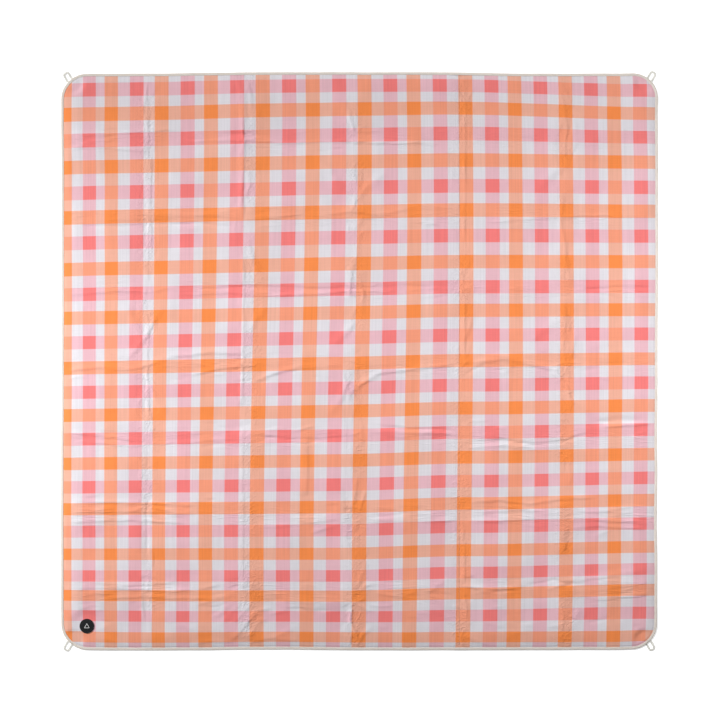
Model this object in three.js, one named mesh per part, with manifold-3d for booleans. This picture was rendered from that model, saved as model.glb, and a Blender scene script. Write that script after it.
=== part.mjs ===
// Camp blanket: a large lined picnic mat, laid flat.
//
// Millimetres.  X runs across the mat, Y from its near edge to its far edge, Z up.  The origin is
// on the ground under the middle of the mat.
//
// The mat is a stack of a backing, a thin wadding and a printed top, closed all round by a folded
// tape.  The printed top is a wide and a narrow width of cloth, joined by a seam.  The left and the
// right third each fold over the middle third, so every layer is parted at the two creases.
import * as THREE from 'three';
import { mergeVertices } from 'three/addons/utils/BufferGeometryUtils.js';
import Module from 'manifold-3d';

const wasm = await Module();
wasm.setup();

// Outline of the mat.
const MAT_WIDTH = 3000;
const MAT_DEPTH = 2900;
const CORNER_RADIUS = 130;
const CORNER_STEPS = 14;

// Thickness of each layer, and the air left between two pieces that touch.
const GAP = 0.3;
const BACKING = 0.8;
const WADDING = 2.4;
const TOP_CLOTH = 0.8;
const BINDING = 0.8;

// The binding tape grips the outer edge this far in, and the layers drop into it over a short slope.
const BINDING_WIDTH = 15;
const SLOPE_WIDTH = 2.7;
const WADDING_MARGIN = 1;
const SLOPE_START = BINDING_WIDTH + GAP;
const SLOPE_END = SLOPE_START + SLOPE_WIDTH;
const WADDING_INSET = SLOPE_END + WADDING_MARGIN;

// The creases of the two folds, the seam in the printed top, and the gap where a layer is parted.
const LEFT_CREASE_X = -576;
const RIGHT_CREASE_X = 529;
const SEAM_X = 502.5;
const PART_GAP = 0.4;

// The blocks that cut a layer: how tall they are, and how far they stick out past the mat's sides.
const CUT_HEIGHT = 100;
const CUT_MARGIN = 1;

// Stitching: the thread's width and height, how far in from the edge the binding is sewn, and how
// far the seam's topstitching lies from the seam.
const THREAD_WIDTH = 0.7;
const THREAD_HEIGHT = 0.5;
const BINDING_STITCH_INSET = 12.6;
const SEAM_STITCH_OFFSET = 1.4;

// Peg loops: a narrow tape, doubled side by side with a rounded tip, sewn into each corner.
const LOOP_TAPE = 11;
const LOOP_OUTER_WIDTH = 37;
const LOOP_STRAIGHT = 30;
const LOOP_TIP = 16;
const LOOP_THICKNESS = 1.4;
const LOOP_TIP_STEPS = 14;
const LOOP_SEAT_ANGLE = THREE.MathUtils.degToRad(48);
const LOOP_LEAN_ANGLE = THREE.MathUtils.degToRad(60);
const BARTACK_LENGTH = 36;
const BARTACK_WIDTH = 2.4;
const BARTACK_INSET = 6.5;

// Round rubber badge near the left corner of the near edge.
const BADGE_X = -1370;
const BADGE_Y = -1330;
const BADGE_RADIUS = 36.5;
const BADGE_THICKNESS = 2;
const BADGE_RIM = 3.5;
const BADGE_RIM_RISE = 0.5;
const BADGE_CHAMFER = 0.6;
const BADGE_SEGMENTS = 48;
const BADGE_STITCH_RADIUS = 30;
const BADGE_MARK_RADIUS = 17;
const BADGE_MARK_HOLE = 0.5;       // size of the mark's opening against the mark

// Heights that follow from the layers.
const backingTop = BACKING;
const waddingLow = backingTop + GAP;
const waddingTop = waddingLow + WADDING;
const clothLow = waddingTop + GAP;
const clothTop = clothLow + TOP_CLOTH;
const backingEdgeLow = BINDING + GAP;
const clothEdgeLow = backingEdgeLow + BACKING + GAP;
const bindingUpperLow = clothEdgeLow + TOP_CLOTH + GAP;
const bindingTop = bindingUpperLow + BINDING;
const halfWidth = MAT_WIDTH / 2;
const halfDepth = MAT_DEPTH / 2;

// ---- geometry helpers --------------------------------------------------------------------------

// The mat's rounded rectangle, moved in from the edge, as points running anticlockwise.
function edgePath(inset) {
  const radius = CORNER_RADIUS - inset;
  const points = [];
  for (let corner = 0; corner < 4; corner += 1) {
    const middle = Math.PI / 4 + corner * Math.PI / 2;
    const centreX = Math.sign(Math.cos(middle)) * (halfWidth - CORNER_RADIUS);
    const centreY = Math.sign(Math.sin(middle)) * (halfDepth - CORNER_RADIUS);
    for (let step = 0; step <= CORNER_STEPS; step += 1) {
      const angle = corner * Math.PI / 2 + step / CORNER_STEPS * Math.PI / 2;
      points.push(new THREE.Vector2(centreX + radius * Math.cos(angle), centreY + radius * Math.sin(angle)));
    }
  }
  return points;
}

// Joins neighbouring rings of equal length with two triangles for each side.
function stripBetween(indices, from, to, count) {
  for (let i = 0; i < count; i += 1) {
    const next = (i + 1) % count;
    indices.push(from + i, from + next, to + next);
    indices.push(from + i, to + next, to + i);
  }
}

function closedGeometry(positions, indices) {
  const geometry = new THREE.BufferGeometry();
  geometry.setAttribute('position', new THREE.Float32BufferAttribute(positions, 3));
  geometry.setIndex(indices);
  return geometry;
}

// A whole layer of the mat.  Each section is [inset, low, high], from the outer edge inwards.
function layerSolid(sections) {
  const positions = [];
  const indices = [];
  const count = edgePath(0).length;
  for (const [inset, low, high] of sections) {
    const path = edgePath(inset);
    for (const height of [low, high]) {
      for (const point of path) {
        positions.push(point.x, point.y, height);
      }
    }
  }
  stripBetween(indices, 0, count, count);
  for (let i = 0; i + 1 < sections.length; i += 1) {
    const outer = 2 * i * count;
    const inner = outer + 2 * count;
    stripBetween(indices, inner, outer, count);
    stripBetween(indices, outer + count, inner + count, count);
  }
  const lastLow = 2 * (sections.length - 1) * count;
  const inside = edgePath(sections[sections.length - 1][0]);
  for (const [a, b, c] of THREE.ShapeUtils.triangulateShape(inside, [])) {
    indices.push(lastLow + count + a, lastLow + count + b, lastLow + count + c);
    indices.push(lastLow + a, lastLow + c, lastLow + b);
  }
  return closedGeometry(positions, indices);
}

// A ring that follows the mat's edge.  The profile's points are [inset, height].
function edgeRing(profile) {
  const positions = [];
  const indices = [];
  const count = edgePath(0).length;
  for (const [inset, height] of profile) {
    for (const point of edgePath(inset)) {
      positions.push(point.x, point.y, height);
    }
  }
  for (let i = 0; i < profile.length; i += 1) {
    stripBetween(indices, i * count, (i + 1) % profile.length * count, count);
  }
  return closedGeometry(positions, indices);
}

function toSolid(geometry) {
  const bare = geometry.clone();
  bare.deleteAttribute('normal');
  bare.deleteAttribute('uv');
  const merged = mergeVertices(bare);
  const vertProperties = new Float32Array(merged.attributes.position.array);
  const triVerts = new Uint32Array(merged.index.array);
  return new wasm.Manifold(new wasm.Mesh({ numProp: 3, vertProperties, triVerts }));
}

function toGeometry(solid) {
  const mesh = solid.getMesh();
  return closedGeometry(Array.from(mesh.vertProperties), Array.from(mesh.triVerts));
}

// The part of a geometry between two X values, on the far half, the near half or the full depth.
function cutBetween(geometry, lowX, highX, side = 'both') {
  const depth = side === 'both' ? 2 * MAT_DEPTH : MAT_DEPTH;
  const block = new THREE.BoxGeometry(highX - lowX, depth, CUT_HEIGHT);
  const offset = { far: MAT_DEPTH / 2, near: -MAT_DEPTH / 2, both: 0 }[side];
  block.translate((lowX + highX) / 2, offset, 0);
  return toGeometry(toSolid(geometry).intersect(toSolid(block)));
}

// ---- materials ---------------------------------------------------------------------------------

function finish(color, roughness) {
  return new THREE.MeshStandardMaterial({ color, roughness, metalness: 0 });
}

const finishes = {
  printedCloth: () => finish(0xefb09a, 0.85),
  wadding: () => finish(0xf2f0ea, 0.95),
  backing: () => finish(0xd9d2c7, 0.6),
  binding: () => finish(0xd6cdc4, 0.8),
  webbing: () => finish(0xe2ded2, 0.8),
  thread: () => finish(0xcfc6ba, 0.7),
  rubber: () => finish(0x131314, 0.55),
  mark: () => finish(0xe9e7e0, 0.5),
};

const blanket = new THREE.Group();

function addPiece(name, geometry, material) {
  const mesh = new THREE.Mesh(geometry, material);
  mesh.name = name;
  blanket.add(mesh);
  return mesh;
}

// ---- the layers --------------------------------------------------------------------------------

const leftEnd = -halfWidth - CUT_MARGIN;
const rightEnd = halfWidth + CUT_MARGIN;
const leftThird = [leftEnd, LEFT_CREASE_X - PART_GAP / 2];
const middleThird = [LEFT_CREASE_X + PART_GAP / 2, RIGHT_CREASE_X - PART_GAP / 2];
const rightThird = [RIGHT_CREASE_X + PART_GAP / 2, rightEnd];
const creaseToSeam = [LEFT_CREASE_X + PART_GAP / 2, SEAM_X - PART_GAP / 2];
const seamToCrease = [SEAM_X + PART_GAP / 2, RIGHT_CREASE_X - PART_GAP / 2];

const backing = layerSolid([
  [BINDING + GAP, backingEdgeLow, backingEdgeLow + BACKING],
  [SLOPE_START, backingEdgeLow, backingEdgeLow + BACKING],
  [SLOPE_END, 0, backingTop],
]);

const wadding = layerSolid([[WADDING_INSET, waddingLow, waddingTop]]);

const printedTop = layerSolid([
  [BINDING + GAP, clothEdgeLow, clothEdgeLow + TOP_CLOTH],
  [SLOPE_START, clothEdgeLow, clothEdgeLow + TOP_CLOTH],
  [SLOPE_END, clothLow, clothTop],
]);

addPiece('backing_left', cutBetween(backing, ...leftThird), finishes.backing());
addPiece('backing_middle', cutBetween(backing, ...middleThird), finishes.backing());
addPiece('backing_right', cutBetween(backing, ...rightThird), finishes.backing());
addPiece('wadding_left', cutBetween(wadding, ...leftThird), finishes.wadding());
addPiece('wadding_middle', cutBetween(wadding, ...middleThird), finishes.wadding());
addPiece('wadding_right', cutBetween(wadding, ...rightThird), finishes.wadding());
addPiece('printed_top_wide_left', cutBetween(printedTop, ...leftThird), finishes.printedCloth());
addPiece('printed_top_wide_middle', cutBetween(printedTop, ...creaseToSeam), finishes.printedCloth());
addPiece('printed_top_narrow_middle', cutBetween(printedTop, ...seamToCrease), finishes.printedCloth());
addPiece('printed_top_narrow_right', cutBetween(printedTop, ...rightThird), finishes.printedCloth());

// ---- the binding and its stitching ---------------------------------------------------------------

const bindingTape = edgeRing([
  [0, 0],
  [0, bindingTop],
  [BINDING_WIDTH, bindingTop],
  [BINDING_WIDTH, bindingUpperLow],
  [BINDING, bindingUpperLow],
  [BINDING, BINDING],
  [BINDING_WIDTH, BINDING],
  [BINDING_WIDTH, 0],
]);

const stitchLow = bindingTop + GAP;
const bindingStitch = edgeRing([
  [BINDING_STITCH_INSET, stitchLow],
  [BINDING_STITCH_INSET, stitchLow + THREAD_HEIGHT],
  [BINDING_STITCH_INSET + THREAD_WIDTH, stitchLow + THREAD_HEIGHT],
  [BINDING_STITCH_INSET + THREAD_WIDTH, stitchLow],
]);

for (const [label, ring, material] of [
  ['binding', bindingTape, finishes.binding],
  ['binding_stitching', bindingStitch, finishes.thread],
]) {
  addPiece(`${label}_left`, cutBetween(ring, ...leftThird), material());
  addPiece(`${label}_middle_far`, cutBetween(ring, ...middleThird, 'far'), material());
  addPiece(`${label}_middle_near`, cutBetween(ring, ...middleThird, 'near'), material());
  addPiece(`${label}_right`, cutBetween(ring, ...rightThird), material());
}

// The seam that joins the two widths is topstitched just inside the wide one.
const seamLength = MAT_DEPTH - 2 * (SLOPE_END + GAP);
const seamStitch = addPiece(
  'seam_stitching',
  new THREE.BoxGeometry(THREAD_WIDTH, seamLength, THREAD_HEIGHT),
  finishes.thread(),
);
seamStitch.position.set(SEAM_X - SEAM_STITCH_OFFSET, 0, clothTop + GAP + THREAD_HEIGHT / 2);

// ---- peg loops -----------------------------------------------------------------------------------

// The loop's own frame has Y along the tape and X across it.  Its two roots are cut parallel to
// the mat's edge, whose outward normal leans away from the loop's Y by the angle lean.
function loopShape(lean) {
  const outer = LOOP_OUTER_WIDTH / 2;
  const inner = outer - LOOP_TAPE;
  const rootAt = (across) => (GAP + across * Math.sin(lean)) / Math.cos(lean);
  const shape = new THREE.Shape();
  shape.moveTo(-outer, rootAt(-outer));
  shape.lineTo(-inner, rootAt(-inner));
  shape.lineTo(-inner, LOOP_STRAIGHT);
  for (let step = 1; step < LOOP_TIP_STEPS; step += 1) {
    const angle = Math.PI * (1 - step / LOOP_TIP_STEPS);
    shape.lineTo(inner * Math.cos(angle), LOOP_STRAIGHT + (LOOP_TIP - LOOP_TAPE) * Math.sin(angle));
  }
  shape.lineTo(inner, LOOP_STRAIGHT);
  shape.lineTo(inner, rootAt(inner));
  shape.lineTo(outer, rootAt(outer));
  shape.lineTo(outer, LOOP_STRAIGHT);
  for (let step = 1; step < LOOP_TIP_STEPS; step += 1) {
    const angle = Math.PI * step / LOOP_TIP_STEPS;
    shape.lineTo(outer * Math.cos(angle), LOOP_STRAIGHT + LOOP_TIP * Math.sin(angle));
  }
  shape.lineTo(-outer, LOOP_STRAIGHT);
  return shape;
}

// Which corner: the sign of X and of Y.
const corners = {
  far_left: [-1, 1],
  far_right: [1, 1],
  near_left: [-1, -1],
  near_right: [1, -1],
};

function addPegLoop(label, signX, signY) {
  const seatAngle = Math.atan2(signY * Math.sin(LOOP_SEAT_ANGLE), signX * Math.cos(LOOP_SEAT_ANGLE));
  const leanAngle = Math.atan2(signY * Math.sin(LOOP_LEAN_ANGLE), signX * Math.cos(LOOP_LEAN_ANGLE));
  const outward = new THREE.Vector2(Math.cos(seatAngle), Math.sin(seatAngle));
  const arcCentre = new THREE.Vector2(signX * (halfWidth - CORNER_RADIUS), signY * (halfDepth - CORNER_RADIUS));
  const seat = arcCentre.clone().addScaledVector(outward, CORNER_RADIUS);

  const loop = addPiece(
    `peg_loop_${label}`,
    new THREE.ExtrudeGeometry(loopShape(seatAngle - leanAngle), { depth: LOOP_THICKNESS, bevelEnabled: false }),
    finishes.webbing(),
  );
  loop.position.set(seat.x, seat.y, 0);
  loop.rotation.z = leanAngle - Math.PI / 2;

  const tackAt = seat.clone().addScaledVector(outward, -BARTACK_INSET);
  const tack = addPiece(
    `loop_bartack_${label}`,
    new THREE.BoxGeometry(BARTACK_LENGTH, BARTACK_WIDTH, THREAD_HEIGHT),
    finishes.thread(),
  );
  tack.position.set(tackAt.x, tackAt.y, stitchLow + THREAD_HEIGHT / 2);
  tack.rotation.z = seatAngle - Math.PI / 2;
}

for (const [label, [signX, signY]] of Object.entries(corners)) {
  addPegLoop(label, signX, signY);
}

// ---- badge -----------------------------------------------------------------------------------------

// Each profile point is (radius, height above the cloth's own gap).
const rimHeight = BADGE_THICKNESS + BADGE_RIM_RISE;
const badgeProfile = [
  new THREE.Vector2(0, 0),
  new THREE.Vector2(BADGE_RADIUS, 0),
  new THREE.Vector2(BADGE_RADIUS, rimHeight - BADGE_CHAMFER),
  new THREE.Vector2(BADGE_RADIUS - BADGE_CHAMFER, rimHeight),
  new THREE.Vector2(BADGE_RADIUS - BADGE_RIM + BADGE_CHAMFER, rimHeight),
  new THREE.Vector2(BADGE_RADIUS - BADGE_RIM, BADGE_THICKNESS),
  new THREE.Vector2(0, BADGE_THICKNESS),
];
const badgeLow = clothTop + GAP;
const badgeFace = badgeLow + BADGE_THICKNESS + GAP;

function standUp(geometry) {
  geometry.rotateX(Math.PI / 2);
  return geometry;
}

const badge = addPiece(
  'badge_disc',
  standUp(new THREE.LatheGeometry(badgeProfile, BADGE_SEGMENTS)),
  finishes.rubber(),
);
badge.position.set(BADGE_X, BADGE_Y, badgeLow);

const ringProfile = [
  new THREE.Vector2(BADGE_STITCH_RADIUS, 0),
  new THREE.Vector2(BADGE_STITCH_RADIUS + THREAD_WIDTH, 0),
  new THREE.Vector2(BADGE_STITCH_RADIUS + THREAD_WIDTH, THREAD_HEIGHT),
  new THREE.Vector2(BADGE_STITCH_RADIUS, THREAD_HEIGHT),
  new THREE.Vector2(BADGE_STITCH_RADIUS, 0),
];
const badgeStitch = addPiece(
  'badge_stitching',
  standUp(new THREE.LatheGeometry(ringProfile, BADGE_SEGMENTS)),
  finishes.thread(),
);
badgeStitch.position.set(BADGE_X, BADGE_Y, badgeFace);

// A plain triangle with an open middle stands for a tent.
function triangle(path, radius) {
  for (let corner = 0; corner < 3; corner += 1) {
    const angle = Math.PI / 2 + corner * 2 * Math.PI / 3;
    const step = corner === 0 ? 'moveTo' : 'lineTo';
    path[step](radius * Math.cos(angle), radius * Math.sin(angle));
  }
  path.closePath();
  return path;
}

const markShape = triangle(new THREE.Shape(), BADGE_MARK_RADIUS);
markShape.holes.push(triangle(new THREE.Path(), BADGE_MARK_RADIUS * BADGE_MARK_HOLE));
const mark = addPiece(
  'badge_mark',
  new THREE.ExtrudeGeometry(markShape, { depth: THREAD_HEIGHT, bevelEnabled: false }),
  finishes.mark(),
);
mark.position.set(BADGE_X, BADGE_Y, badgeFace);

export default blanket;
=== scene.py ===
import math
import random

import bpy
import numpy as np
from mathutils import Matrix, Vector


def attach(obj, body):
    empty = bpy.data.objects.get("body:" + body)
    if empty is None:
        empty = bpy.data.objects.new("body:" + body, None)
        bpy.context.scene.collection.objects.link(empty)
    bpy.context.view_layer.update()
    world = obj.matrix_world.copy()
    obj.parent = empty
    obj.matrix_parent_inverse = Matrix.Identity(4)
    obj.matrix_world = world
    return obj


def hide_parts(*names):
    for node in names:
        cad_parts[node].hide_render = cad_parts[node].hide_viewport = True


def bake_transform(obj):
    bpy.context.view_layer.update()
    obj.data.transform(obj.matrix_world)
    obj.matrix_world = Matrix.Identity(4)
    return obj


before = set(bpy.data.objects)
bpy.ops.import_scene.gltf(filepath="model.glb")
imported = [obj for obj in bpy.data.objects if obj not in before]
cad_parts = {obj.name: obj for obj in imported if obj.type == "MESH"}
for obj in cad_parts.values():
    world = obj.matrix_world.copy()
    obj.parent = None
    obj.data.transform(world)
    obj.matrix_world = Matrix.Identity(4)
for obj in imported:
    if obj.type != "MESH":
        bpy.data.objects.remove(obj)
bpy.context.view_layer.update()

# A camp blanket laid out flat: gingham cloth over wadding and backing, bound with tape.
# Metres, the CAD's frame: X to the right, Y away from the near edge, Z up from the floor.

MM = 0.001
HALF_WIDTH = 1.5
HALF_DEPTH = 1.45
CORNER_RADIUS = 0.13
SEAM_X = 0.5025
BADGE = (-1.370, -1.330)
BINDING_WIDTH = 13.8 * MM
LOOP_REST = (1.437, 1.402)       # middle of a turned-over peg loop, from the mat's centre
PHOTO_WIDTH = 3.618              # what the photo's frame spans at the mat
LENS = 70
SENSOR = 36
CAMERA_X = 0.0015
CAMERA_Y = 0.0050
KEY_WAY = (-0.77, 0.64)          # towards the key light, in plan
KEY_HEIGHT = 24                  # degrees above the floor

# Creases: height in mm, reach to each side in mm, and the line they follow.
BROAD_CREASES = (
    (-5.5, 80, ((-1.055, 1.1), (-0.575, 1.12), (-0.05, 1.12), (0.505, 1.13))),
    (-2.1, 60, ((0.505, 1.125), (1.03, 1.12), (1.49, 1.11))),
    (2.6, 50, ((-1.485, 1.07), (-1.055, 1.06))),
    (3.1, 60, ((-1.485, 0.695), (-1.28, 0.71), (-0.855, 0.725), (-0.3, 0.73))),
    (1.6, 50, ((-0.3, 0.72), (-0.025, 0.735), (0.505, 0.74), (1.49, 0.73))),
    (-2.3, 60, ((-1.485, 0.33), (-0.905, 0.34), (-0.4, 0.36), (-0.05, 0.35), (0.455, 0.375))),
    (1.8, 50, ((0.455, 0.36), (1.03, 0.345), (1.49, 0.365))),
    (2.3, 60, ((-1.485, -0.04), (-1.205, -0.04), (-0.855, -0.01), (-0.55, -0.005), (-0.05, -0.015))),
    (2.1, 55, ((-0.05, -0.015), (0.455, -0.01), (0.73, 0.01), (0.93, -0.035), (1.03, -0.095))),
    (-2.0, 60, ((-1.485, -0.375), (-1.055, -0.405), (-0.575, -0.395))),
    (2.9, 90, ((-0.575, -0.385), (-0.3, -0.395), (-0.05, -0.37))),
    (2.0, 60, ((-0.05, -0.365), (0.505, -0.36), (0.955, -0.41), (1.18, -0.37))),
    (-2.4, 60, ((1.155, -0.31), (1.31, -0.295), (1.49, -0.295))),
    (2.9, 80, ((-1.485, -0.75), (-1.055, -0.75), (-0.575, -0.735))),
    (6.6, 105, ((-0.565, -0.84), (-0.4, -0.83), (-0.25, -0.815), (-0.05, -0.79))),
    (2.6, 70, ((-0.075, -0.805), (0.05, -0.805), (0.505, -0.805), (1.03, -0.79), (1.49, -0.805))),
    (2.6, 80, ((-1.485, -1.15), (-1.055, -1.16), (-0.575, -1.165))),
    (2.2, 70, ((-0.4, -1.16), (0.05, -1.14), (0.505, -1.135), (0.805, -1.155), (1.49, -1.1))),
    (5.5, 34, ((-0.4, -1.2), (-0.2, -1.21), (-0.02, -1.22))),
    (2.0, 60, ((0.98, -1.175), (1.21, -1.165), (1.49, -1.125))),
    (-2.9, 60, ((-1.06, 1.435), (-1.065, 0.56), (-1.06, -0.445), (-1.075, -1.435))),
    (3.4, 60, ((-0.585, 1.435), (-0.585, 0.81), (-0.58, 0.51))),
    (1.8, 50, ((-0.58, 0.56), (-0.575, 0.055), (-0.58, -0.345))),
    (6.2, 110, ((-0.58, -0.32), (-0.585, -0.7), (-0.58, -1.2), (-0.625, -1.425))),
    (2.1, 55, ((-0.02, 1.435), (-0.03, 0.985), (-0.02, 0.56), (-0.04, 0.205))),
    (1.8, 55, ((-0.04, 0.205), (-0.06, -0.195), (-0.035, -0.7), (-0.02, -1.2), (-0.01, -1.44))),
    (-3.9, 70, ((0.51, 1.435), (0.505, 0.305), (0.505, -0.7), (0.505, -1.44))),
    (2.2, 60, ((1.02, 1.435), (1.04, 1.06), (1.025, 0.56), (1.03, 0.205), (1.05, -0.095), (1.055, -0.345))),
    (1.5, 60, ((1.055, -0.345), (1.025, -0.95), (1.015, -1.44))),
)
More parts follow.
